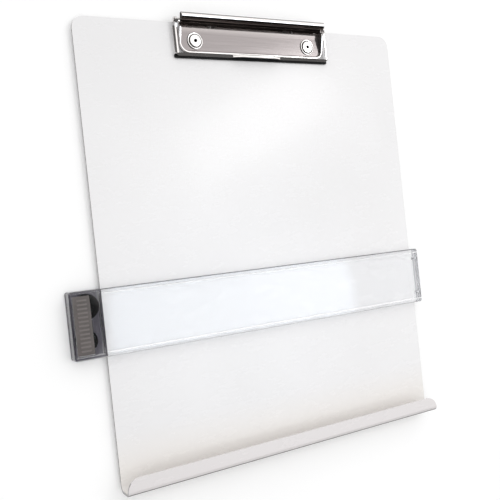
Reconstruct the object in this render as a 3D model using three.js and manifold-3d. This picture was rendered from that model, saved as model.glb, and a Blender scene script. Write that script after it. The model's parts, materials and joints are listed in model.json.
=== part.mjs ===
// Portable drawing board: a white sheet with a J-shaped ledge at its lower edge, a chrome lever clip
// at its upper edge, and a clear guide bar that slides up and down and hooks round both side edges.
// Millimetres. The board lies on its back: +X across it, +Y from the ledge to the clip, +Z out of its
// drawing face. Every part is laid out from the board's heel: x = 0 on its centre line, y = 0 on the
// ledge's floor and z = 0 on the drawing face. The last group moves that to the bottom centre.

import * as THREE from 'three';
import { mergeVertices } from 'three/addons/utils/BufferGeometryUtils.js';
import Module from 'manifold-3d';

const wasm = await Module();
wasm.setup();

// ---- driving dimensions ----

const GAP = 0.3;                 // between parts that touch
const OVER = 1;                  // how far a cutting body runs past the surface that it cuts
const MERGE = 0.05;              // how far joined bodies run into each other
const BEYOND = 40;               // reach of the bodies that trim an outline

const BOARD = { width: 305, height: 356, sheet: 2, topCorner: 10 };
const LEDGE = { front: 15.5, lipTop: 10.9, lipCorner: 10, heelBend: 3, toeBend: 2 };

const BAR = { left: -178.3, right: 156.5, bottom: 101, height: 50.5, top: 6.4, corner: 2 };
const RIM = { width: 3, depth: 1 };                       // raised border round the bar's front
const FENCE = 2;                                          // clear rib that runs along the left edge
const POCKET = { wall: 1.8, roof: 4.2 };                  // hollow of the bar's head
const WINDOW_LEFT = -161;                                 // the clear window starts here
const REAR = { plate: 2, reach: 13 };
const PAD = { width: 9.4, edge: 1.4, depth: 0.7, inset: 4.2, corner: 1.5 };
const SPACERS = [
  { name: 'head_spacer_upper', screw: 'head_screw_upper', x: -165.2, y: 139.5, radius: 9.4 },
  { name: 'head_spacer_lower', screw: 'head_screw_lower', x: -167.3, y: 114.4, radius: 8 },
];
const HEAD_SCREW = { shaft: 1.4, head: 2.7, headHeight: 1, tip: 2.6, boss: 3.2 };
const TAIL_SCREW = { shaft: 0.8, head: 1.3, headHeight: 1, tip: 3.2 };
const SCREW_SINK = 0.1;                                   // head's face below the rear plate's
const SCREW_SLOT = { half: 0.3, depth: 0.3 };
const TAIL_SCREWS = { tail_screw_upper: 142.5, tail_screw_lower: 110 };
const GRIP = { left: -175.6, right: -163.1, margin: 3.7, sink: 1.2, base: 1.1, corner: 1 };
const GRIP_RIB = { count: 13, height: 0.4, half: 0.6, inset: 2.5 };

const CLIP_X = 2.3;                                       // the clip sits this far off the centre line
const METAL = 0.9;                                        // the clip's sheet steel
const TRAY = { halfWidth: 69.6, bottom: 330.9, top: 355.5, rim: 3.3, height: 3.8, corner: 8 };
const CHEEK = { crestY: 350.5, crestZ: 7, radius: 2.2 };   // the tray's side walls, up to the pin
const RIVET = { x: 55, y: 341.3, shank: 1.8, bore: 1.3, boreDepth: 4.9, tail: 3, edge: 0.4 };
const RIVET_HEAD = [                                      // radius and height, from the rim inwards
  [6.9, 0], [6.9, 0.3], [6.5, 0.55], [5.9, 0.45], [5.5, 0.35], [5.2, 0.8], [4.7, 1.15], [1.7, 1.3],
];
const WASHER = { radius: 5, thick: 0.8 };
const PIVOT = { y: 356.5, z: 3.7, pin: 1, pinHalf: 73.2, head: 1.7, headLength: 0.6 };
const ROLL = { y: 358.5, z: 9.3, radius: 2.8, half: 68.9 };
const COVE_HALF = 68.3;
const COVE = [                                            // the bent sheet below the rolled edge
  [353.3, 5], [354.4, 5.8], [354.75, 6.3], [355.2, 9.4],
  [356.3, 9.4], [355.75, 6.2], [354.75, 5.35], [353.8, 4.3],
];
const LEVER = {
  halfWidth: 74.5, front: 328.3, jawRear: 330.2, armRear: 351.7, top: 5, low: 2.2, corner: 3.5,
};
const ARM = [                                             // half width and height of an arm's section
  [71.9, 4.1], [71.9, 5], [73.3, 5], [74.5, 3.4], [74.5, 2.2], [73.6, 2.2], [73.6, 3.1], [72.9, 4.1],
];
const JAW = [[328.3, 2.2], [329.1, 2.2], [330.2, 3.6], [330.2, 5], [328.3, 2.9]];   // sloping front
const ARCH = { foot: 23, flat: 15, rise: 2.3 };           // raised thumb edge in the jaw's middle
const EAR = { inner: 71.2, outer: 73, radius: 2.8 };
const SLOPE = { high: 9.5, low: 6.2 };                     // z where the lever's shoulders slope down
const SHOULDER = [
  [350.6, 4.1], [354.5, 2.2], [356.5, 4.2], [356.6, 8.8], [355, 8.8], [353.4, 5.9], [350.6, 5],
];
const RUBBER = { front: 326.8, depth: 3.4, top: 1.9, corner: 1.3 };
const SPRING = { x: 40, coil: 1.65, wire: 0.45, turns: 6, pitch: 1.15, footY: 352.4, handY: 6, steps: 150 };

const halfBoard = BOARD.width / 2;
const back = -BOARD.sheet;                                // z of the board's back face
const plateTop = back - GAP;                              // z of the rear plates' inner faces
const plateBottom = plateTop - REAR.plate;                // z of the surface the part lies on
const barTop = BAR.bottom + BAR.height;
const clearHole = GAP;                                    // added to a shaft's radius for its hole

// ---- shapes ----

function shapeOf(points) {
  return new THREE.Shape(points.map(([x, y]) => new THREE.Vector2(x, y)));
}

function roundedRectangle(left, bottom, right, top, radii) {
  const each = Array.isArray(radii) ? radii : [radii, radii, radii, radii];
  const [bottomLeft, bottomRight, topRight, topLeft] = each;
  const shape = new THREE.Shape();
  const corner = (x, y, radius, start) => {
    if (radius > 0) shape.absarc(x, y, radius, start, start + Math.PI / 2, false);
    else shape.lineTo(x, y);
  };
  shape.moveTo(left + bottomLeft, bottom);
  corner(right - bottomRight, bottom + bottomRight, bottomRight, -Math.PI / 2);
  corner(right - topRight, top - topRight, topRight, 0);
  corner(left + topLeft, top - topLeft, topLeft, Math.PI / 2);
  corner(left + bottomLeft, bottom + bottomLeft, bottomLeft, Math.PI);
  shape.closePath();
  return shape;
}

function disc(x, y, radius) {
  const shape = new THREE.Shape();
  shape.absarc(x, y, radius, 0, 2 * Math.PI, false);
  return shape;
}

// ---- bodies ----

function extruded(shape, depth, segments) {
  return new THREE.ExtrudeGeometry(shape, { depth, bevelEnabled: false, curveSegments: segments });
}

// A shape in the XY plane, raised from one z to another.
function upright(shape, low, high, segments = 16) {
  return extruded(shape, high - low, segments).translate(0, 0, low);
}

// A shape drawn in (y, z), run from one x to another.
function crosswise(shape, left, right, segments = 16) {
  const turn = new THREE.Matrix4().makeBasis(
    new THREE.Vector3(0, 1, 0), new THREE.Vector3(0, 0, 1), new THREE.Vector3(1, 0, 0));
  return extruded(shape, right - left, segments).applyMatrix4(turn).translate(left, 0, 0);
}

// A shape drawn in (x, z), run from one y to another.
function lengthwise(shape, low, high) {
  return extruded(shape, high - low, 1).rotateX(Math.PI / 2).translate(0, high, 0);
}

function block(left, bottom, low, right, top, high) {
  return upright(roundedRectangle(left, bottom, right, top, 0), low, high);
}

function post(x, y, radius, low, high, sides = 40) {
  const cylinder = new THREE.CylinderGeometry(radius, radius, high - low, sides);
  return cylinder.rotateX(Math.PI / 2).translate(x, y, (low + high) / 2);
}

function shaftAcross(y, z, radius, left, right, sides = 32) {
  const cylinder = new THREE.CylinderGeometry(radius, radius, right - left, sides);
  return cylinder.rotateZ(Math.PI / 2).translate((left + right) / 2, y, z);
}

// A body between two outlines with the same number of points, one above the other.
function lofted(lower, upper, low, high) {
  const count = lower.length;
  const raised = (outline, z) => outline.flatMap(([x, y]) => [x, y, z]);
  const positions = [...raised(lower, low), ...raised(upper, high)];
  const faces = THREE.ShapeUtils.triangulateShape(lower.map(([x, y]) => new THREE.Vector2(x, y)), []);
  const index = [];
  for (const [a, b, c] of faces) index.push(a, c, b, a + count, b + count, c + count);
  for (let i = 0; i < count; i++) {
    const next = (i + 1) % count;
    index.push(i, next, next + count, i, next + count, i + count);
  }
  const geometry = new THREE.BufferGeometry();
  geometry.setAttribute('position', new THREE.Float32BufferAttribute(positions, 3));
  geometry.setIndex(index);
  return geometry;
}

// ---- booleans ----

function solid(geometry) {
  const bare = geometry.clone();
  bare.deleteAttribute('normal');
  bare.deleteAttribute('uv');
  const merged = mergeVertices(bare, 1e-4);
  return new wasm.Manifold(new wasm.Mesh({
    numProp: 3,
    vertProperties: new Float32Array(merged.attributes.position.array),
    triVerts: new Uint32Array(merged.index.array),
  }));
}

function joined(...geometries) {
  return geometries.map(solid).reduce((whole, next) => whole.add(next));
}

function cut(body, ...tools) {
  return tools.map(solid).reduce((left, tool) => left.subtract(tool), body);
}

function geometryOf(body) {
  const mesh = body.getMesh();
  const geometry = new THREE.BufferGeometry();
  geometry.setAttribute('position', new THREE.Float32BufferAttribute(mesh.vertProperties, 3));
  geometry.setIndex(new THREE.Uint32BufferAttribute(mesh.triVerts, 1));
  geometry.computeVertexNormals();
  return geometry;
}

// ---- materials ----

const finish = (color, roughness, metalness = 0, opacity = 1) =>
  new THREE.MeshStandardMaterial({ color, roughness, metalness, opacity, transparent: opacity < 1 });

const whiteSheet = () => finish(0xeeecec, 0.25);
const clearPlastic = () => finish(0xf2f6fa, 0.08, 0, 0.35);
const chrome = () => finish(0xc9c6c4, 0.15, 1);
const satinSteel = () => finish(0xaaa5a5, 0.4, 1);
const zinc = () => finish(0x8f9092, 0.45, 1);
const greyPlastic = () => finish(0x77748a, 0.5);
const felt = () => finish(0x55525c, 0.95);
const blackRubber = () => finish(0x141414, 0.75);

// ---- the board ----

function ledgeProfile() {
  const { front, lipTop, heelBend, toeBend } = LEDGE;
  const lipBack = front - BOARD.sheet;
  const shape = new THREE.Shape();
  shape.moveTo(BOARD.height, 0);
  shape.lineTo(heelBend, 0);
  shape.absarc(heelBend, heelBend, heelBend, -Math.PI / 2, Math.PI, true);
  shape.absarc(toeBend, lipBack - toeBend, toeBend, Math.PI, Math.PI / 2, true);
  shape.lineTo(lipTop, lipBack);
  shape.lineTo(lipTop, front);
  shape.absarc(toeBend, lipBack - toeBend, toeBend + BOARD.sheet, Math.PI / 2, Math.PI, false);
  shape.absarc(heelBend, heelBend, heelBend + BOARD.sheet, Math.PI, 1.5 * Math.PI, false);
  shape.lineTo(BOARD.height, back);
  shape.closePath();
  return shape;
}

function lipCornerCutter(side) {
  const { lipTop, lipCorner, front } = LEDGE;
  const inner = halfBoard - lipCorner;
  const shape = new THREE.Shape();
  shape.moveTo(halfBoard + OVER, lipTop - lipCorner);
  shape.lineTo(halfBoard, lipTop - lipCorner);
  shape.absarc(inner, lipTop - lipCorner, lipCorner, 0, Math.PI / 2, false);
  shape.lineTo(inner, lipTop + OVER);
  shape.lineTo(halfBoard + OVER, lipTop + OVER);
  shape.closePath();
  const low = front - 2 * BOARD.sheet;
  const high = front + OVER;
  const cutter = upright(shape, low, high, 24);
  return side > 0 ? cutter : cutter.rotateY(Math.PI).translate(0, 0, low + high);
}

function boardSheet() {
  const outline = roundedRectangle(
    -halfBoard, -BEYOND, halfBoard, BOARD.height, [0, 0, BOARD.topCorner, BOARD.topCorner]);
  const bent = solid(crosswise(ledgeProfile(), -halfBoard, halfBoard));
  const trimmed = bent.intersect(solid(upright(outline, -BEYOND, BEYOND, 24)));
  const rivetHoles = [-1, 1].map((side) =>
    post(CLIP_X + side * RIVET.x, RIVET.y, RIVET.shank + clearHole, back - OVER, OVER));
  return geometryOf(cut(trimmed, lipCornerCutter(-1), lipCornerCutter(1), ...rivetHoles));
}

// ---- the guide bar ----

const fenceRight = -halfBoard - GAP;
const tailWallLeft = halfBoard + GAP;
const tailScrewX = (tailWallLeft + BAR.right) / 2;
const plateLow = plateTop - PAD.depth - GAP;          // floor of the pads' recesses
const gripFloor = BAR.top - GRIP.sink;                    // floor of the grip panel's recess

function guideBar() {
  const { left, right, bottom, top, corner } = BAR;
  const field = top - RIM.depth;
  const outline = roundedRectangle(left, bottom, right, barTop, corner);
  const plate = upright(outline, GAP, top, 8);
  const headOutline = roundedRectangle(left, bottom, fenceRight, barTop, [corner, 0, 0, corner]);
  const headWalls = upright(headOutline, back, GAP + OVER, 8);
  const tailOutline = roundedRectangle(tailWallLeft, bottom, right, barTop, [0, corner, corner, 0]);
  const tailWall = upright(tailOutline, back, GAP + OVER, 8);
  const hollow = block(
    left + POCKET.wall, bottom + POCKET.wall, back - OVER,
    fenceRight - FENCE, barTop - POCKET.wall, POCKET.roof);
  const recess = block(
    WINDOW_LEFT, bottom + RIM.width, field, halfBoard - RIM.width, barTop - RIM.width, top + OVER);
  const gripRecess = block(
    GRIP.left - GAP, bottom + GRIP.margin - GAP, gripFloor,
    GRIP.right + GAP, barTop - GRIP.margin + GAP, top + OVER);
  const shell = cut(joined(plate, headWalls, tailWall), hollow, recess, gripRecess);
  const bossTop = POCKET.roof + OVER / 2;
  const bosses = SPACERS.map((s) => solid(post(s.x, s.y, HEAD_SCREW.boss, back, bossTop)));
  const bossHoles = SPACERS.map((s) =>
    post(s.x, s.y, HEAD_SCREW.shaft + clearHole, back - OVER, HEAD_SCREW.tip + clearHole));
  const tailHoles = Object.values(TAIL_SCREWS).map((y) =>
    post(tailScrewX, y, TAIL_SCREW.shaft + clearHole, back - OVER, TAIL_SCREW.tip + clearHole, 16));
  const withBosses = bosses.reduce((whole, boss) => whole.add(boss), shell);
  return geometryOf(cut(withBosses, ...bossHoles, ...tailHoles));
}

function padSpan(side) {
  const outer = halfBoard - PAD.edge;
  const inner = outer - PAD.width;
  return side < 0 ? [-outer, -inner] : [inner, outer];
}

function rearPlate(side, screws) {
  const inner = halfBoard - REAR.reach;
  const [left, right] = side < 0 ? [BAR.left, -inner] : [inner, BAR.right];
  const radii = side < 0 ? [BAR.corner, 0, 0, BAR.corner] : [0, BAR.corner, BAR.corner, 0];
  const outline = roundedRectangle(left, BAR.bottom, right, barTop, radii);
  const plate = upright(outline, plateBottom, plateTop, 8);
  const [padLeft, padRight] = padSpan(side);
  const padRecess = block(
    padLeft - GAP, BAR.bottom + PAD.inset - GAP, plateLow,
    padRight + GAP, barTop - PAD.inset + GAP, plateTop + OVER);
  const holes = screws.flatMap(({ x, y, size }) => [
    post(x, y, size.shaft + clearHole, plateBottom - OVER, plateTop + OVER),
    post(x, y, size.head + clearHole, plateBottom - OVER, plateBottom + size.headHeight + GAP),
  ]);
  return geometryOf(cut(solid(plate), padRecess, ...holes));
}

function frictionPad(side) {
  const [left, right] = padSpan(side);
  const outline = roundedRectangle(
    left, BAR.bottom + PAD.inset, right, barTop - PAD.inset, PAD.corner);
  return upright(outline, plateTop - PAD.depth, plateTop, 6);
}

function spacer({ x, y, radius }) {
  const outline = disc(x, y, radius);
  outline.holes.push(disc(x, y, HEAD_SCREW.boss + GAP));
  return upright(outline, back, POCKET.roof - GAP, 32);
}

function screw(x, y, size) {
  const { half, depth } = SCREW_SLOT;
  const headLow = plateBottom + SCREW_SINK;
  const headTop = plateBottom + size.headHeight;
  const slot = block(
    x - size.head, y - half, headLow - OVER, x + size.head, y + half, headLow + depth);
  const turned = joined(
    post(x, y, size.head, headLow, headTop), post(x, y, size.shaft, headLow + depth, size.tip, 20));
  return geometryOf(cut(turned, slot));
}

function gripPanel() {
  const { count, height, half, inset } = GRIP_RIB;
  const low = gripFloor + GAP;
  const high = low + GRIP.base;
  const bottom = BAR.bottom + GRIP.margin;
  const top = barTop - GRIP.margin;
  const outline = roundedRectangle(GRIP.left, bottom, GRIP.right, top, GRIP.corner);
  const base = upright(outline, low, high, 6);
  const pitch = (top - bottom) / (count + 1);
  const ribs = Array.from({ length: count }, (_, i) => {
    const y = bottom + (i + 1) * pitch;
    return block(
      GRIP.left + inset, y - half, low + GRIP.base / 2, GRIP.right - inset, y + half, high + height);
  });
  return geometryOf(joined(base, ...ribs));
}

// ---- the clip ----

// The tray's side and lower edges, as one line from its upper left corner to its upper right one.
function trayLine(lowInset, sideInset) {
  const { halfWidth, bottom, top, corner } = TRAY;
  const side = halfWidth - sideInset;
  const across = corner - sideInset;
  const along = corner - lowInset;
  const points = [[-side, top]];
  const steps = 12;
  for (const [centre, from] of [[across - side, Math.PI], [side - across, 1.5 * Math.PI]]) {
    for (let i = 0; i <= steps; i++) {
      const angle = from + (i / steps) * (Math.PI / 2);
      points.push([centre + across * Math.cos(angle), bottom + corner + along * Math.sin(angle)]);
    }
  }
  points.push([side, top]);
  return points;
}

function ringOf(outer, inner) {
  return [...outer, ...inner.slice().reverse()];
}

// The tray's side wall, which rises to the rear and carries the pin.
function cheek(side) {
  const { y, z, pin } = PIVOT;
  const { crestY, crestZ, radius } = CHEEK;
  const front = TRAY.bottom + TRAY.corner;
  const shape = new THREE.Shape();
  shape.moveTo(front, GAP);
  shape.lineTo(y, GAP);
  shape.absarc(y, z, radius, 0, 0.75 * Math.PI, false);
  shape.lineTo(crestY, crestZ);
  shape.lineTo(front, TRAY.height);
  shape.closePath();
  const hole = new THREE.Path();
  hole.absarc(y, z, pin + clearHole, 0, 2 * Math.PI, true);
  shape.holes.push(hole);
  const outer = TRAY.halfWidth;
  return side < 0
    ? crosswise(shape, -outer, METAL - outer)
    : crosswise(shape, outer - METAL, outer);
}

function basePlate() {
  const { halfWidth, bottom, top, rim, height, corner } = TRAY;
  const side = halfWidth - METAL / 2;
  const round = corner - METAL;
  const outline = roundedRectangle(-side, bottom + METAL, side, top, [round, round, 0, 0]);
  const floor = upright(outline, GAP, GAP + METAL, 12);
  const band = lofted(
    ringOf(trayLine(0, 0), trayLine(rim, METAL)), ringOf(trayLine(0, 0), trayLine(METAL, METAL)),
    GAP, height);
  const holes = [-1, 1].map((end) =>
    post(end * RIVET.x, RIVET.y, RIVET.shank + clearHole, 0, height));
  return geometryOf(cut(joined(floor, band, cheek(-1), cheek(1)), ...holes));
}

function rollProfile() {
  const shape = disc(ROLL.y, ROLL.z, ROLL.radius);
  shape.holes.push(disc(ROLL.y, ROLL.z, ROLL.radius - METAL));
  return shape;
}

// The side plate that turns on the pin and joins the rolled edge to the arm.
function leverEar(side) {
  const { inner, outer, radius } = EAR;
  const [left, right] = side < 0 ? [-outer, -inner] : [inner, outer];
  const eye = disc(PIVOT.y, PIVOT.z, radius);
  return [crosswise(eye, left, right), crosswise(shapeOf(SHOULDER), left, right)];
}

function leverArm(side) {
  return lengthwise(shapeOf(ARM.map(([x, z]) => [side * x, z])), LEVER.jawRear - GAP, LEVER.armRear);
}

function archStrip(thickness) {
  const { foot, flat, rise } = ARCH;
  const low = LEVER.top - thickness;
  return shapeOf([
    [-foot, low], [-flat, low + rise], [flat, low + rise], [foot, low],
    [foot, LEVER.top], [flat, LEVER.top + rise], [-flat, LEVER.top + rise], [-foot, LEVER.top],
  ]);
}

// What is cut off beyond the rolled edge's end, so that the lever slopes down to its arm.
function shoulderSlope(side) {
  const { high, low } = SLOPE;
  const section = [
    [ROLL.half, BEYOND], [ROLL.half, high], [EAR.outer, low], [BEYOND + EAR.outer, low],
    [BEYOND + EAR.outer, BEYOND],
  ];
  return lengthwise(
    shapeOf(section.map(([x, z]) => [side * x, z])), PIVOT.y - BEYOND, PIVOT.y + BEYOND);
}

function clipLever() {
  const { halfWidth, front, jawRear, top, low, corner } = LEVER;
  const roll = crosswise(rollProfile(), -ROLL.half, ROLL.half, 24);
  const cove = crosswise(shapeOf(COVE), -COVE_HALF, COVE_HALF);
  const shoulders = crosswise(shapeOf(COVE.slice(2, 6)), -EAR.outer, EAR.outer);
  const arch = lengthwise(archStrip(METAL), front, jawRear);
  const { foot, flat, rise } = ARCH;
  const crest = top - METAL + rise;
  const webOutline = [
    [-foot, low], [foot, low], [foot, top - METAL],
    [flat, crest + METAL / 2], [-flat, crest + METAL / 2], [-foot, top - METAL],
  ];
  const web = lengthwise(shapeOf(webOutline), front, front + METAL);
  const throat = flat + (foot - flat) / 2;
  const underArch = lengthwise(
    shapeOf([[-throat, 0], [throat, 0], [flat, crest], [-flat, crest]]), front + METAL, jawRear + OVER);
  const jaw = cut(solid(crosswise(shapeOf(JAW), -halfWidth, halfWidth)), underArch);
  const sides = [-1, 1].flatMap((side) => [...leverEar(side), leverArm(side)]);
  const parts = [roll, cove, shoulders, arch, web, ...sides];
  const frame = parts.map(solid).reduce((whole, part) => whole.add(part), jaw);
  const outline = roundedRectangle(
    -halfWidth, front, halfWidth, ROLL.y + BEYOND, [corner, corner, 0, 0]);
  const trimmed = frame.intersect(solid(upright(outline, -BEYOND, BEYOND, 8)));
  const past = halfWidth + OVER;
  const pinHole = shaftAcross(PIVOT.y, PIVOT.z, PIVOT.pin + clearHole, -past, past);
  const rollBore = crosswise(disc(ROLL.y, ROLL.z, ROLL.radius - METAL), -past, past, 24);
  return geometryOf(cut(trimmed, pinHole, rollBore, shoulderSlope(-1), shoulderSlope(1)));
}

function pivotPin() {
  const { y, z, pin, pinHalf, head, headLength } = PIVOT;
  return geometryOf(joined(
    shaftAcross(y, z, pin, -pinHalf, pinHalf),
    shaftAcross(y, z, head, -pinHalf - headLength, MERGE - pinHalf),
    shaftAcross(y, z, head, pinHalf - MERGE, pinHalf + headLength)));
}

// Wire: a foot along the base plate, the coil round the pin, and a hand that lifts the rolled edge.
class SpringWire extends THREE.Curve {
  constructor(side) {
    super();
    this.side = side;
    const { coil, turns, pitch, footY, handY } = SPRING;
    this.foot = PIVOT.y - footY;
    this.hand = handY - PIVOT.z;
    this.around = 2 * Math.PI * (turns + 0.25);
    this.run = coil * this.around;
    this.total = this.foot + this.run + this.hand;
    this.pitch = pitch;
  }

  getPoint(t, target = new THREE.Vector3()) {
    const { coil } = SPRING;
    const along = t * this.total;
    const onCoil = Math.min(Math.max(along - this.foot, 0), this.run) / this.run;
    const angle = -Math.PI / 2 + onCoil * this.around;
    const x = this.side * (SPRING.x - onCoil * (SPRING.turns + 0.25) * this.pitch);
    let y = PIVOT.y + coil * Math.cos(angle);
    let z = PIVOT.z + coil * Math.sin(angle);
    if (along < this.foot) y -= this.foot - along;
    if (along > this.foot + this.run) z += along - this.foot - this.run;
    return target.set(x, y, z);
  }
}

function spring(side) {
  const wire = new SpringWire(side);
  const section = disc(0, 0, SPRING.wire);
  return new THREE.ExtrudeGeometry(section, { steps: SPRING.steps, curveSegments: 5, extrudePath: wire });
}

function rivet(x) {
  const { shank, bore, boreDepth, tail, edge } = RIVET;
  const headLow = GAP + METAL + GAP;
  const head = RIVET_HEAD.map(([radius, height]) => [radius, headLow + height]);
  const [, crown] = head.at(-1);
  const tailTop = plateTop - WASHER.thick - GAP;
  const profile = [
    [0, plateBottom], [tail - edge, plateBottom], [tail, plateBottom + edge], [tail, tailTop],
    [shank, tailTop], [shank, headLow],
    ...head, [bore, crown - edge / 2], [bore, crown - boreDepth], [0, crown - boreDepth],
  ];
  const turned = new THREE.LatheGeometry(profile.map(([r, z]) => new THREE.Vector2(r, z)), 48);
  return turned.rotateX(Math.PI / 2).translate(x, RIVET.y, 0);
}

function washer(x) {
  const outline = disc(x, RIVET.y, WASHER.radius);
  outline.holes.push(disc(x, RIVET.y, RIVET.shank + clearHole));
  return upright(outline, plateTop - WASHER.thick, plateTop, 20);
}

function jawRubber() {
  const { front, depth, top, corner } = RUBBER;
  const half = LEVER.halfWidth;
  return upright(roundedRectangle(-half, front, half, front + depth, corner), GAP, top, 6);
}

// ---- assembly ----

function part(name, geometry, material) {
  const mesh = new THREE.Mesh(geometry, material);
  mesh.name = name;
  return mesh;
}

const headScrews = SPACERS.map((s) => ({ name: s.screw, x: s.x, y: s.y, size: HEAD_SCREW }));
const tailScrews = Object.entries(TAIL_SCREWS).map(([name, y]) => (
  { name, x: tailScrewX, y, size: TAIL_SCREW }));

const slider = new THREE.Group();
slider.add(
  part('guide_bar', guideBar(), clearPlastic()),
  part('grip_panel', gripPanel(), finish(0x7c7472, 0.6)),
  part('head_rear_plate', rearPlate(-1, headScrews), greyPlastic()),
  part('tail_rear_plate', rearPlate(1, tailScrews), greyPlastic()),
  part('head_friction_pad', frictionPad(-1), felt()),
  part('tail_friction_pad', frictionPad(1), felt()),
  ...SPACERS.map((s) => part(s.name, spacer(s), blackRubber())),
  ...[...headScrews, ...tailScrews].map(({ name, x, y, size }) =>
    part(name, screw(x, y, size), zinc())),
);

const clip = new THREE.Group();
clip.position.x = CLIP_X;
clip.add(
  part('clip_base_plate', basePlate(), satinSteel()),
  part('clip_lever', clipLever(), chrome()),
  part('clip_pivot_pin', pivotPin(), chrome()),
  part('clip_spring_left', spring(-1), satinSteel()),
  part('clip_spring_right', spring(1), satinSteel()),
  part('jaw_rubber', jawRubber(), blackRubber()),
  part('rivet_left', rivet(-RIVET.x), chrome()),
  part('rivet_right', rivet(RIVET.x), chrome()),
  part('rivet_washer_left', washer(-RIVET.x), satinSteel()),
  part('rivet_washer_right', washer(RIVET.x), satinSteel()),
);

const drawingBoard = new THREE.Group();
drawingBoard.add(part('board_sheet', boardSheet(), whiteSheet()), slider, clip);
drawingBoard.position.set(
  -(BAR.left + BAR.right) / 2,
  -(ROLL.y + ROLL.radius - BOARD.sheet) / 2,
  -plateBottom,
);

export default drawingBoard;
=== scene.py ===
"""Looks of the portable drawing board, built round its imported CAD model.

Every CAD node is stood for by a refined piece: the node's own surface with its flat facets joined,
its edges rounded and its curves smoothed, in a procedural material. Metres, in the row frame.
"""

import json
import math

import bmesh
import bpy
from mathutils import Matrix, Vector


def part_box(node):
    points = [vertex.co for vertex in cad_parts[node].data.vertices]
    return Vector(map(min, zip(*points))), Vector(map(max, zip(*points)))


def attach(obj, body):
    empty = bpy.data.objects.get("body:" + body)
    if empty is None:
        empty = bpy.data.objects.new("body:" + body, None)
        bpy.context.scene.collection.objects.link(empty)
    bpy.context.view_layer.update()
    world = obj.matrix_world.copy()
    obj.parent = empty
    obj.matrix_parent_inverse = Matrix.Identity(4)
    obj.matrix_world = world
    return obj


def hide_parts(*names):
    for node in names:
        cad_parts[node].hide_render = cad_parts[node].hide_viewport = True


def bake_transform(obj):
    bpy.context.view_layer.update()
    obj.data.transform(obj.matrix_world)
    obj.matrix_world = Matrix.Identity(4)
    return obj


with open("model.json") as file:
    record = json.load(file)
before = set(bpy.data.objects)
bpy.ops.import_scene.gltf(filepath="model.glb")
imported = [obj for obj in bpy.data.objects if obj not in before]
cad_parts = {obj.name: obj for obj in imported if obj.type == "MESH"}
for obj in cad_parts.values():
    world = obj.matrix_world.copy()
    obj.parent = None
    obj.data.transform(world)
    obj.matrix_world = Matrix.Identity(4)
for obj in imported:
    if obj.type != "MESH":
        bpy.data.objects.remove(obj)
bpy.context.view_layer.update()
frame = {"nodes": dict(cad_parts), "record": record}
scene = bpy.context.scene

MM = 0.001
JOINTS = {joint["name"]: joint for joint in frame["record"]["behaviour"]["joints"]}
PIVOT = Vector(JOINTS["clip_hinge"]["pos_m"])   # the middle of the clip's pin

# ---- camera ----

CAMERA_PLACE = (-0.29221, -0.00805, 0.50506)
CAMERA_SWING = 0.512   # about Y, to the left of straight above the board
CAMERA_NOD = 0.007     # about X
CAMERA_ROLL = 0.107    # about its own axis
CAMERA_LENS = 49.376   # mm
SENSOR_WIDTH = 36      # mm
NEAREST, FARTHEST = 0.01, 50   # m


def make_camera():
    data = bpy.data.cameras.new("camera")
    data.sensor_width = SENSOR_WIDTH
    data.lens = CAMERA_LENS
    data.clip_start, data.clip_end = NEAREST, FARTHEST
    camera = bpy.data.objects.new("camera", data)
    scene.collection.objects.link(camera)
    turn = (
        Matrix.Rotation(-CAMERA_SWING, 4, "Y")
        @ Matrix.Rotation(-CAMERA_NOD, 4, "X")
        @ Matrix.Rotation(-CAMERA_ROLL, 4, "Z")
    )
    camera.matrix_world = Matrix.Translation(CAMERA_PLACE) @ turn
    scene.camera = camera


# ---- node helpers ----

TONES = (0.3, 0.7)                  # where most noise has its darkest and its lightest tone
MIX_INPUTS, MIX_RESULT = (0, 6, 7), 2   # a Mix node's sockets for a factor and two colours


class Nodes:
    """Short calls that add nodes to an emptied node tree."""

    def __init__(self, tree):
        self.tree = tree
        self.tree.nodes.clear()

    def node(self, kind, inputs=None, **attributes):
        """A new node. An input is either a socket to link or a value to set."""
        made = self.tree.nodes.new(kind)
        for key, value in attributes.items():
            setattr(made, key, value)
        for key, value in (inputs or {}).items():
            if isinstance(value, bpy.types.NodeSocket):
                self.link(value, made.inputs[key])
            else:
                made.inputs[key].default_value = value
        return made

    def link(self, source, target):
        self.tree.links.new(source, target)

    def combined(self, operation, first, second):
        """Two factors put together, and kept from 0 to 1."""
        inputs = {0: first, 1: second}
        return self.node("ShaderNodeMath", inputs, operation=operation, use_clamp=True).outputs[0]

    def both(self, first, second):
        return self.combined("MULTIPLY", first, second)

    def either(self, first, second):
        return self.combined("MAXIMUM", first, second)

    def span(self, value, start, end):
        """0 up to start and 1 from end on."""
        inputs = {"Value": value, "From Min": start, "From Max": end}
        return self.node("ShaderNodeMapRange", inputs).outputs["Result"]

    def remap(self, factor, low, high):
        """A 0 to 1 factor brought to low to high."""
        inputs = {"Value": factor, "To Min": low, "To Max": high}
        return self.node("ShaderNodeMapRange", inputs).outputs["Result"]

    def ramp(self, factor, *stops):
        """Colours along a factor, as (position, colour) pairs."""
        made = self.node("ShaderNodeValToRGB", {"Fac": factor})
        elements = made.color_ramp.elements
        while len(elements) < len(stops):
            elements.new(1.0)
        for element, (position, colour) in zip(elements, stops):
            element.position = position
            element.color = (*colour, 1)
        return made.outputs["Color"]


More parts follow.
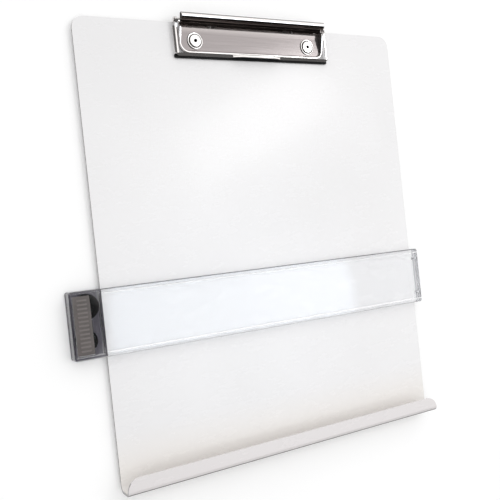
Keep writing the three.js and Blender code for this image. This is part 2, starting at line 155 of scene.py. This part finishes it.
class Shader(Nodes):
    """A material with one Principled shader, and calls for what it is built from."""

    def __init__(self, name, **settings):
        self.material = bpy.data.materials.new(name)
        self.material.use_nodes = True
        super().__init__(self.material.node_tree)
        named = {key.replace("_", " "): value for key, value in settings.items()}
        self.principled = self.node("ShaderNodeBsdfPrincipled", named)
        self.output = self.node("ShaderNodeOutputMaterial", {"Surface": self.principled.outputs[0]})

    def place(self, stretch=(1, 1, 1)):
        """Object coordinates, stretched."""
        inputs = {"Vector": self.node("ShaderNodeTexCoord").outputs["Object"], "Scale": stretch}
        return self.node("ShaderNodeMapping", inputs).outputs[0]

    def past(self, axis, edge, change):
        """0 turning to 1 along an axis of the object, where change is (start, end) from an edge."""
        split = self.node("ShaderNodeSeparateXYZ", {"Vector": self.place()})
        return self.span(split.outputs[axis], edge + change[0], edge + change[1])

    def between(self, axis, edge, band, fade):
        """1 in a band, which is (low, high) from an edge, and 0 outside it."""
        low, high = band
        return self.both(
            self.past(axis, edge, (low - fade, low)),
            self.past(axis, edge, (high + fade, high)),
        )

    def noise(self, scale, detail=4, roughness=0.5, stretch=(1, 1, 1)):
        inputs = {
            "Vector": self.place(stretch), "Scale": scale, "Detail": detail, "Roughness": roughness,
        }
        return self.node("ShaderNodeTexNoise", inputs).outputs["Fac"]

    def tones(self, factor, dark, light, stops=TONES):
        return self.ramp(factor, (stops[0], dark), (stops[1], light))

    def mix(self, factor, first, second):
        """first, a socket, where factor is 0, and second, a socket or a colour, where it is 1."""
        values = (factor, first, (*second, 1) if isinstance(second, tuple) else second)
        inputs = dict(zip(MIX_INPUTS, values))
        return self.node("ShaderNodeMix", inputs, data_type="RGBA").outputs[MIX_RESULT]

    def colour(self, socket):
        self.link(socket, self.principled.inputs["Base Color"])

    def rough(self, factor, low, high):
        self.link(self.remap(factor, low, high), self.principled.inputs["Roughness"])

    def bump(self, height, strength, distance=0.2 * MM):
        inputs = {"Height": height, "Strength": strength, "Distance": distance}
        self.link(self.node("ShaderNodeBump", inputs).outputs[0], self.principled.inputs["Normal"])


# ---- plastics and soft materials ----

# Changes of tone are (start, end) pairs, measured from an edge.
GUTTER_PAINTED_WARM_SHADE = (45 * MM, 18 * MM)         # above the ledge's toe: where warm shade is painted in the gutter
LIP_PAINTED_SHADE = (-4 * MM, -2 * MM)          # from the lip's face: where shade is painted on the lip
TOE_PAINTED_LINE_DEPTH = (-2.8 * MM, -2.5 * MM)   # from the lip's face: a painted dark reflection along the toe
TOE_PAINTED_LINE_HEIGHT = (1.8 * MM, 1.4 * MM)    # above the ledge's toe
SPECKS = 0.12                             # share of the darker tone that a speck can take


def white_sheet():
    """White, with painted warm shade in the ledge's gutter, painted shade on the lip's upper part,
    and a painted dark reflection along the ledge's toe.
    """
    s = Shader("white_sheet", Specular_IOR_Level=0.5, Coat_Weight=0.15, Coat_Roughness=0.12)
    base = s.tones(s.noise(9, detail=3), (0.755, 0.75, 0.755), (0.79, 0.786, 0.792))
    specks = s.remap(s.noise(1400, detail=2), 0, SPECKS)
    base = s.mix(specks, base, (0.72, 0.71, 0.715))
    lowest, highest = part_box("board_sheet")
    toe, lip_face = lowest.y, highest.z
    # painted shade: the gutter under the lip is tinted warm, as its shade looks
    base = s.mix(s.past("Y", toe, GUTTER_PAINTED_WARM_SHADE), base, (0.775, 0.75, 0.725))
    # painted shade on the lip's upper part
    base = s.mix(s.past("Z", lip_face, LIP_PAINTED_SHADE), base, (0.7, 0.672, 0.672))
    # a painted dark reflection along the ledge's toe
    line = s.both(s.past("Z", lip_face, TOE_PAINTED_LINE_DEPTH), s.past("Y", toe, TOE_PAINTED_LINE_HEIGHT))
    s.colour(s.mix(line, base, (0.11, 0.105, 0.105)))
    scuffs = s.noise(30, detail=6, roughness=0.7, stretch=(1, 2.5, 1))
    s.rough(scuffs, 0.263, 0.283)
    s.bump(s.noise(55, detail=3), strength=0.02, distance=0.6 * MM)
    return s.material


# painted shade: the saw-cut edges are grey, far darker than the white sheet
def cut_edge_painted_shade():
    s = Shader("cut_edge_painted_shade", Roughness=0.5)
    saw = s.noise(500, detail=3, roughness=0.6, stretch=(1, 1, 0.1))
    s.colour(s.tones(saw, (0.3, 0.29, 0.29), (0.42, 0.41, 0.41)))
    s.bump(saw, strength=0.3)
    return s.material


LINE_DEPTH = (-0.6 * MM, -0.4 * MM)    # of the bar's painted edge lines, from its front
DARK_LINE_PAINTED_SHADE = (-0.9 * MM, -0.7 * MM)     # from the bar's upper edge: a painted dark line of shade
PALE_LINE_PAINTED_SHADE = (0.8 * MM, 0.6 * MM)       # from the bar's lower edge: a painted pale line of shade
STEP_DEPTH = (-1.5 * MM, -1.3 * MM)    # of the raised border's foot, from the bar's front: a painted highlight
STEP_BAND = (3 * MM, 3.7 * MM)         # of the raised border's foot, from either long edge
STEP_START = (0, 1 * MM)               # from the sheet's left edge: the head has no painted bright lines
LINE_FADE = 0.2 * MM
CLARITY, LINE_CLARITY = 1.0, 0.3       # transmission weights, of the clear bar and of its painted lines
SHADOW_TINT = (0.97, 0.975, 0.985, 1)  # of light that falls through the bar


def clear_plastic():
    """Clear, with a painted dark line of shade along the bar's upper edge, a painted pale line of
    shade along its lower edge, and a painted highlight where its raised border steps down."""
    s = Shader("clear_plastic", IOR=1.45, Roughness=0.02)
    lowest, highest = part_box("guide_bar")
    tint = s.tones(s.noise(12, detail=3), (0.985, 0.99, 0.995), (0.992, 0.996, 1.0))
    # painted shade: dark and pale lines along the bar's long edges, at its front
    front = s.past("Z", highest.z, LINE_DEPTH)
    dark = s.both(front, s.past("Y", highest.y, DARK_LINE_PAINTED_SHADE))
    pale = s.both(front, s.past("Y", lowest.y, PALE_LINE_PAINTED_SHADE))
    # a painted highlight where the raised border steps down
    upper = s.between("Y", highest.y, (-STEP_BAND[1], -STEP_BAND[0]), LINE_FADE)
    lower = s.between("Y", lowest.y, STEP_BAND, LINE_FADE)
    sheet_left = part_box("board_sheet")[0].x
    step = s.both(s.past("Z", highest.z, STEP_DEPTH), s.past("X", sheet_left, STEP_START))
    painted_glint = s.both(step, s.either(upper, lower))
    tint = s.mix(dark, tint, (0.16, 0.16, 0.17))
    tint = s.mix(pale, tint, (0.5, 0.5, 0.51))
    s.colour(s.mix(painted_glint, tint, (0.97, 0.975, 0.98)))
    lines = s.either(s.either(dark, pale), painted_glint)
    s.link(s.remap(lines, CLARITY, LINE_CLARITY), s.principled.inputs["Transmission Weight"])
    s.bump(s.noise(26, detail=2), strength=0.04, distance=0.6 * MM)
    in_shadow = s.node("ShaderNodeLightPath").outputs["Is Shadow Ray"]
    clear = s.node("ShaderNodeBsdfTransparent", {"Color": SHADOW_TINT})
    choice = {0: in_shadow, 1: s.principled.outputs[0], 2: clear.outputs[0]}
    s.link(s.node("ShaderNodeMixShader", choice).outputs[0], s.output.inputs["Surface"])
    return s.material


RIB_TOPS_LIGHTER = (-0.3 * MM, -0.1 * MM)      # from the grip panel's rib tops, which are lighter


def smoky_plastic():
    s = Shader("smoky_plastic", Coat_Weight=0.4, Coat_Roughness=0.2)
    base = s.tones(s.noise(70, roughness=0.6), (0.064, 0.053, 0.049), (0.108, 0.09, 0.084))
    # lighter towards the rib tops
    tone_shift = s.past("Z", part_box("grip_panel")[1].z, RIB_TOPS_LIGHTER)
    s.colour(s.mix(tone_shift, base, (0.14, 0.119, 0.112)))
    s.rough(s.noise(220, detail=3), 0.38, 0.55)
    s.bump(s.noise(1600, detail=3, roughness=0.6), strength=0.25)
    return s.material


def grey_plastic():
    s = Shader("grey_plastic")
    s.colour(s.tones(s.noise(60), (0.1, 0.093, 0.115), (0.128, 0.119, 0.145)))
    s.rough(s.noise(300, detail=3), 0.42, 0.6)
    s.bump(s.noise(1800, detail=3, roughness=0.6), strength=0.3)
    return s.material


# painted light: a paler copy of the grey plastic, for the plate seen through the bar
def painted_light_grey_plastic():
    s = Shader("painted_light_grey_plastic")
    s.colour(s.tones(s.noise(60), (0.52, 0.52, 0.54), (0.6, 0.6, 0.62)))
    s.rough(s.noise(300, detail=3), 0.35, 0.5)
    s.bump(s.noise(1800, detail=3, roughness=0.6), strength=0.2)
    return s.material


def felt():
    s = Shader("felt", Sheen_Weight=0.6, Roughness=0.95)
    fibre = s.noise(900, detail=6, roughness=0.75, stretch=(1, 0.4, 1))
    s.colour(s.tones(fibre, (0.018, 0.017, 0.02), (0.05, 0.047, 0.054)))
    s.bump(fibre, strength=0.8, distance=0.5 * MM)
    return s.material


def black_rubber():
    s = Shader("black_rubber", Specular_IOR_Level=0.15)
    grain = s.noise(700, roughness=0.6)
    s.colour(s.tones(grain, (0.004, 0.004, 0.0042), (0.01, 0.01, 0.0105)))
    s.rough(s.noise(90, detail=3), 0.45, 0.65)
    s.bump(grain, strength=0.3)
    return s.material


# ---- metals ----

# All from the pin's middle.
ROLL_TOP_PAINTED_REFLECTION = (3.5 * MM, 3.9 * MM)        # in Y, where the rolled edge turns over and a dark reflection is painted
COVE = (-3.3 * MM, 0.9 * MM)           # in Y, the hollow under the rolled edge, where shade is painted
EARS = (-69 * MM, 69 * MM)             # in X, the lever's two ears
COVE_FADE = 0.3 * MM
ARCH_REAR = (-26.7 * MM, -26.2 * MM)   # in Y, the rear side of the jaw's arch, where shade is painted
ARCH_FOOT = (1.4 * MM, 1.6 * MM)       # in Z
ARCH_FADE = 0.1 * MM
FLOOR_PAINTED_LIGHT = (-9 * MM, -3 * MM)    # in Y, on the tray: where light is painted towards the pin
RIM_PAINTED_HIGHLIGHT = (-2.4 * MM, -1.9 * MM)    # in Z, above the tray's floor: where a highlight is painted on the rim


def chrome():
    """Bright, with painted shade in the hollow under the rolled edge, a painted dark reflection on
    the roll top, and painted shade on the rear of the arch.
    """
    s = Shader("chrome", Metallic=1.0)
    smear = s.noise(25, roughness=0.6, stretch=(0.4, 1, 1))
    bright = s.tones(smear, (0.76, 0.735, 0.725), (0.82, 0.8, 0.79))
    # the grain of the painted shade in the hollow under the rolled edge
    painted_shade_grain = s.noise(160, roughness=0.6, stretch=(0.05, 1, 1))
    painted_cove_shade = s.tones(painted_shade_grain, (0.035, 0.028, 0.026), (0.13, 0.105, 0.095), stops=(0.35, 0.7))
    # a painted dark reflection on the roll top
    bright = s.mix(s.past("Y", PIVOT.y, ROLL_TOP_PAINTED_REFLECTION), bright, (0.16, 0.15, 0.145))
    # painted shade on the rear of the arch
    arch_rear_painted_shade = s.both(
        s.past("Z", PIVOT.z, ARCH_FOOT), s.between("Y", PIVOT.y, ARCH_REAR, ARCH_FADE)
    )
    bright = s.mix(arch_rear_painted_shade, bright, (0.05, 0.045, 0.045))
    # painted shade in the hollow under the rolled edge
    cove = s.both(
        s.between("Y", PIVOT.y, COVE, COVE_FADE), s.between("X", PIVOT.x, EARS, COVE_FADE)
    )
    s.colour(s.mix(cove, bright, painted_cove_shade))
    s.rough(s.noise(120, roughness=0.6, stretch=(0.25, 1, 1)), 0.07, 0.16)
    s.bump(s.noise(300, detail=2, stretch=(0.03, 1, 1)), strength=0.015)
    return s.material


def satin_steel():
    """Brushed, with painted light towards the pin and a painted highlight on the rim."""
    s = Shader("satin_steel", Metallic=1.0)
    brushed = s.noise(900, detail=3, roughness=0.6, stretch=(0.02, 1, 1))
    floor = s.tones(brushed, (0.285, 0.262, 0.262), (0.315, 0.29, 0.29))
    # painted light towards the pin
    floor = s.mix(s.past("Y", PIVOT.y, FLOOR_PAINTED_LIGHT), floor, (0.5, 0.47, 0.46))
    # a painted highlight on the rim
    s.colour(s.mix(s.past("Z", PIVOT.z, RIM_PAINTED_HIGHLIGHT), floor, (0.88, 0.86, 0.85)))
    s.rough(brushed, 0.13, 0.22)
    s.bump(brushed, strength=0.03)
    return s.material


# painted shade: a near black metal for a rivet's bore
def rivet_bore_painted_shade():
    s = Shader("rivet_bore_painted_shade", Metallic=1.0)
    painted_shade_grain = s.noise(900, roughness=0.6)
    s.colour(s.tones(painted_shade_grain, (0.012, 0.011, 0.01), (0.03, 0.028, 0.026)))
    s.rough(painted_shade_grain, 0.5, 0.75)
    s.bump(painted_shade_grain, strength=0.2)
    return s.material


# painted shade: a dark metal for the groove round a rivet's crown
def rivet_groove_painted_shade():
    s = Shader("rivet_groove_painted_shade", Metallic=1.0)
    painted_shade_grain = s.noise(600, roughness=0.6)
    s.colour(s.tones(painted_shade_grain, (0.06, 0.056, 0.054), (0.12, 0.11, 0.105)))
    s.rough(painted_shade_grain, 0.2, 0.35)
    s.bump(painted_shade_grain, strength=0.1)
    return s.material


def spring_steel():
    s = Shader("spring_steel", Metallic=1.0)
    drawn = s.noise(800, detail=3, roughness=0.6)
    s.colour(s.tones(drawn, (0.38, 0.37, 0.36), (0.5, 0.49, 0.48)))
    s.rough(drawn, 0.25, 0.4)
    s.bump(drawn, strength=0.1, distance=0.1 * MM)
    return s.material


def rivet_nickel():
    s = Shader("rivet_nickel", Metallic=1.0)
    tone_shift = s.noise(300, roughness=0.6)
    s.colour(s.tones(tone_shift, (0.84, 0.825, 0.81), (0.9, 0.89, 0.88)))
    s.rough(tone_shift, 0.14, 0.26)
    s.bump(tone_shift, strength=0.08)
    return s.material


def zinc_screw():
    s = Shader("zinc_screw", Metallic=1.0)
    plated = s.noise(500, roughness=0.6)
    s.colour(s.tones(plated, (0.48, 0.48, 0.49), (0.6, 0.6, 0.61)))
    s.rough(plated, 0.3, 0.48)
    s.bump(plated, strength=0.15)
    return s.material


MAKERS = (
    white_sheet, clear_plastic, smoky_plastic, grey_plastic, felt, black_rubber,
    chrome, satin_steel, spring_steel, rivet_nickel, zinc_screw,
)
materials = {make.__name__: make() for make in MAKERS}   # each maker is named after its slot
CUT_EDGE_PAINTED_SHADE = cut_edge_painted_shade()
RIVET_BORE_PAINTED_SHADE = rivet_bore_painted_shade()
RIVET_GROOVE_PAINTED_SHADE = rivet_groove_painted_shade()
PAINTED_LIGHT_GREY_PLASTIC = painted_light_grey_plastic()
slot_of = {part["node"]: part["material_slot"] for part in frame["record"]["subparts"]}
body_of = {
    node: body
    for body, nodes in frame["record"]["behaviour"]["bodies"].items()
    for node in nodes
}

# ---- refined pieces ----

FLAT = math.radians(1)      # faces closer than this to one plane are joined
SHARP = math.radians(32)    # edges sharper than this are rounded or stay crisp
WELD = 0.001 * MM           # corners closer than this are one
BEVEL_SEGMENTS = 2
ROUNDING = {                # in mm
    "board_sheet": 0.4,
    "guide_bar": 0.3,
    "grip_panel": 0.2,
    "head_rear_plate": 0.4,
    "tail_rear_plate": 0.4,
    "head_friction_pad": 0.2,
    "tail_friction_pad": 0.2,
    "head_spacer_upper": 0.3,
    "head_spacer_lower": 0.3,
    "head_screw_upper": 0.1,
    "head_screw_lower": 0.1,
    "tail_screw_upper": 0.1,
    "tail_screw_lower": 0.1,
    "clip_base_plate": 0.2,
    "clip_lever": 0.2,
    "clip_pivot_pin": 0.2,
    "jaw_rubber": 0.4,
    "rivet_left": 0.1,
    "rivet_right": 0.1,
    "rivet_washer_left": 0.1,
    "rivet_washer_right": 0.1,
}


def surface_of(node):
    """A new bmesh of a CAD node, with its coplanar triangles joined."""
    made = bmesh.new()
    made.from_mesh(frame["nodes"][node].data)
    bmesh.ops.remove_doubles(made, verts=made.verts, dist=WELD)
    bmesh.ops.dissolve_limit(
        made, angle_limit=FLAT, use_dissolve_boundaries=False, verts=made.verts, edges=made.edges
    )
    return made


def linked(name, data):
    """A new object of some data, in the scene."""
    made = bpy.data.objects.new(name, data)
    scene.collection.objects.link(made)
    return made


def mesh_as_shown(thing):
    """A new mesh of an object, with its modifiers applied or its curve filled out."""
    bpy.context.view_layer.update()
    graph = bpy.context.evaluated_depsgraph_get()
    return bpy.data.meshes.new_from_object(thing.evaluated_get(graph))


def smooth(mesh):
    mesh.polygons.foreach_set("use_smooth", [True] * len(mesh.polygons))


def finished(name, made, bevel=0.0):
    """An object from a bmesh, with its sharp edges rounded and its curved stretches smooth."""
    mesh = bpy.data.meshes.new(name)
    made.to_mesh(mesh)
    made.free()
    smooth(mesh)
    piece = linked(name, mesh)
    if bevel > 0:
        rounding = piece.modifiers.new("rounding", "BEVEL")
        rounding.width = bevel
        rounding.segments = BEVEL_SEGMENTS
        rounding.limit_method = "ANGLE"
        rounding.angle_limit = SHARP
        rounding.face_strength_mode = "FSTR_ALL"
    else:
        mesh.set_sharp_from_angle(angle=SHARP)
    weighting = piece.modifiers.new("weighting", "WEIGHTED_NORMAL")
    weighting.use_face_influence = bevel > 0
    weighting.keep_sharp = True
    piece.data = mesh_as_shown(piece)
    piece.modifiers.clear()
    return piece


def stand_in(piece, node):
    """Gives a piece its node's slot and material, and lets it stand for the node."""
    piece.data.materials.clear()
    piece.data.materials.append(materials[slot_of[node]])
    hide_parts(node)


# ---- pieces with a second material ----

STEEP = 0.7                 # a normal's share of the direction that a face is taken to look in
UPPER_EDGE = 10 * MM        # the strip of the sheet that its upper edge and corners lie in
BORE_RADIUS = 1.35 * MM     # of a rivet, and a little more
GROOVE = (5.2 * MM, 5.8 * MM)   # radii of the groove round a rivet's crown
BORE_FLOOR = 1 * MM         # z that a rivet's bore and groove lie above


def trim(piece, material, chosen):
    """Gives another material to the faces for which chosen(centre, normal) is true."""
    piece.data.materials.append(material)
    for face in piece.data.polygons:
        if chosen(face.center, face.normal):
            face.material_index = len(piece.data.materials) - 1


def trim_sheet(sheet):
    """The sheet's sides and its upper edge are saw cuts, in a grey that is painted shade."""
    top = max(corner[1] for corner in sheet.bound_box)

    def is_cut(centre, normal):
        return abs(normal.x) > STEEP or (normal.y > STEEP and centre.y > top - UPPER_EDGE)

    trim(sheet, CUT_EDGE_PAINTED_SHADE, is_cut)


def trim_rivet(rivet):
    """A rivet's bore is painted near black as shade, and the groove round its crown is painted dark
    as shade.
    """
    corners = [Vector(corner) for corner in rivet.bound_box]
    axis = sum(corners, Vector()) / len(corners)

    def in_bore(centre, normal):
        return centre.z > BORE_FLOOR and (centre - axis).xy.length < BORE_RADIUS

    def in_groove(centre, normal):
        return centre.z > BORE_FLOOR and GROOVE[0] < (centre - axis).xy.length < GROOVE[1]

    trim(rivet, RIVET_BORE_PAINTED_SHADE, in_bore)
    trim(rivet, RIVET_GROOVE_PAINTED_SHADE, in_groove)


def trim_tail_plate(plate):
    """Seen through the bar, this plate is much paler than the one on the head: painted light on a
    copy of the grey plastic.
    """
    plate.data.materials[0] = PAINTED_LIGHT_GREY_PLASTIC


TRIMMING = {
    "board_sheet": trim_sheet,
    "rivet_left": trim_rivet,
    "rivet_right": trim_rivet,
    "tail_rear_plate": trim_tail_plate,
}


def make_pieces():
    for node, rounding in ROUNDING.items():
        piece = finished("fine_" + node, surface_of(node), rounding * MM)
        stand_in(piece, node)
        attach(piece, body_of[node])
        if node in TRIMMING:
            TRIMMING[node](piece)


# ---- the clip's springs ----

SPRING_START = 40 * MM      # from the clip's middle to a coil's outer end
COIL = 1.65 * MM            # radius, to the wire's middle
WIRE = 0.45 * MM            # radius
WIRE_ROUNDNESS = 4          # the curve's bevel resolution
TURNS = 6.25
FIRST_TURN = -0.25          # so that the coil starts at its lowest point
PITCH = 1.15 * MM
FOOT = 4.1 * MM             # of straight wire along the base plate
HAND = 2.3 * MM             # of straight wire up to the rolled edge
STEPS = 48                  # per turn


def spring_points(side):
    """The wire's line: a straight foot, a coil round the pin and a straight hand."""
    start = PIVOT.x + side * SPRING_START
    points = [Vector((start, PIVOT.y - FOOT, PIVOT.z - COIL))]
    count = round(STEPS * TURNS)
    for i in range(count + 1):
        turned = i / count * TURNS
        angle = math.tau * (turned + FIRST_TURN)
        points.append(Vector((
            start - side * PITCH * turned,
            PIVOT.y + COIL * math.cos(angle),
            PIVOT.z + COIL * math.sin(angle),
        )))
    points.append(points[-1] + Vector((0, 0, HAND)))
    return points


def make_spring(node, side):
    """A round wire, its lower end on the board and its upper end on the lever."""
    points = spring_points(side)
    curve = bpy.data.curves.new(node, "CURVE")
    curve.dimensions = "3D"
    curve.bevel_depth = WIRE
    curve.bevel_resolution = WIRE_ROUNDNESS
    curve.use_fill_caps = True
    line = curve.splines.new("POLY")
    line.points.add(len(points) - 1)
    for target, point in zip(line.points, points):
        target.co = (*point, 1)
    wire = linked(node + "_line", curve)
    mesh = mesh_as_shown(wire)
    bpy.data.objects.remove(wire)
    smooth(mesh)
    piece = linked("fine_" + node, mesh)
    stand_in(piece, node)
    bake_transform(piece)


def make_springs():
    make_spring("clip_spring_left", -1)
    make_spring("clip_spring_right", 1)


# ---- studio ----

WHITE = (1, 1, 1)
SEEN_LIGHT = 1.05                  # what the camera sees of the room
ROOM_SIDE = (0, 0.64, 0.77)        # where most light for matt surfaces comes from
ROOM_LIGHT = ((0.0, 0.55), (1.0, 1.45))   # grey levels, by the cosine to that direction
BRIGHT_SIDE = (0.55, 0.35, 0.76)   # where the mirrored room is bright, seen from the object
MIRRORED_TINT = (1, 0.985, 0.975)
MIRRORED_ROOM = (                  # grey levels, by the cosine to that direction
    (0.0, 0.13),
    (0.3, 0.1),
    (0.5, 0.045),
    (0.66, 0.06),
    (0.72, 0.4),
    (0.78, 1.1),
    (0.88, 1.35),
)
WINDOW_SIDE = (0.455, -0.09, 0.88)     # a cool light, which the bar mirrors on its left half
WINDOW_GLOW = ((0.983, 0.0), (0.986, 1.0))
WINDOW_COLOUR = (1.6, 1.85, 2.1)
CARD_SIDE = (0.2274, -0.088, 0.970)    # a black card, which the bar mirrors on its head
CARD_SHADE = ((0.9972, 1.0), (0.9982, 0.0))


def make_world():
    """The camera sees plain white. Matt surfaces get a soft light, strongest from above the board's
    upper end. Mirroring ones see a dark studio with one bright side, a window and a black card."""
    world = bpy.data.worlds.new("studio")
    world.use_nodes = True
    w = Nodes(world.node_tree)
    ray_direction = w.node("ShaderNodeTexCoord").outputs["Generated"]

    def levels(direction, stops, colour=WHITE):
        """A colour that follows the cosine to a direction, as (cosine, level) pairs."""
        inputs = {0: ray_direction, 1: Vector(direction).normalized()}
        cosine = w.node("ShaderNodeVectorMath", inputs, operation="DOT_PRODUCT").outputs["Value"]
        low, high = stops[0][0], stops[-1][0]
        return w.ramp(w.span(cosine, low, high), *(
            ((position - low) / (high - low), [level * part for part in colour])
            for position, level in stops
        ))

    def background(colour, strength=1.0):
        return w.node("ShaderNodeBackground", {"Color": colour, "Strength": strength}).outputs[0]

    def choice(factor, first, second):
        return w.node("ShaderNodeMixShader", {0: factor, 1: first, 2: second}).outputs[0]

    room = levels(BRIGHT_SIDE, MIRRORED_ROOM, MIRRORED_TINT)
    shade = levels(CARD_SIDE, CARD_SHADE)
    shaded = w.node("ShaderNodeVectorMath", {0: room, 1: shade}, operation="MULTIPLY").outputs[0]
    window = levels(WINDOW_SIDE, WINDOW_GLOW, WINDOW_COLOUR)
    studio = w.node("ShaderNodeAddShader", {0: background(shaded), 1: background(window)})
    overhead = background(levels(ROOM_SIDE, ROOM_LIGHT))
    seen = background((*WHITE, 1), SEEN_LIGHT)
    ray = w.node("ShaderNodeLightPath").outputs
    # A ray that leaves a matt surface and passes the clear bar still sees the soft light.
    through_bar = w.both(ray["Is Transmission Ray"], ray["Diffuse Depth"])
    mirrored = w.combined("SUBTRACT", ray["Is Glossy Ray"], through_bar)
    light = choice(ray["Is Camera Ray"], overhead, seen)
    w.node("ShaderNodeOutputWorld", {"Surface": choice(mirrored, light, studio.outputs[0])})
    scene.world = world


FLOOR_REACH = 4             # metres, each way
FLOOR_CELLS = 4


def make_floor():
    made = bmesh.new()
    bmesh.ops.create_grid(
        made, x_segments=FLOOR_CELLS, y_segments=FLOOR_CELLS, size=FLOOR_REACH
    )
    floor = finished("floor", made)
    s = Shader("floor", Roughness=0.9)
    s.colour(s.tones(s.noise(3, detail=2), (0.945, 0.945, 0.945), (0.96, 0.96, 0.96)))
    floor.data.materials.append(s.material)


KEY_PLACE = (0.499, 0.266, 0.804)   # where the sheet mirrors it as a slanting band of light
KEY_SIZE = (0.42, 0.14)
KEY_TURN = math.radians(26)
KEY_POWER = 0.9


def make_key_light():
    """A long soft light that shines straight down."""
    data = bpy.data.lights.new("key", "AREA")
    data.shape = "RECTANGLE"
    data.size, data.size_y = KEY_SIZE
    data.energy = KEY_POWER
    light = linked("key", data)
    light.location = KEY_PLACE
    light.rotation_euler.z = KEY_TURN


make_camera()
make_world()
make_key_light()
make_floor()
make_pieces()
make_springs()

scene.view_settings.view_transform = "Standard"
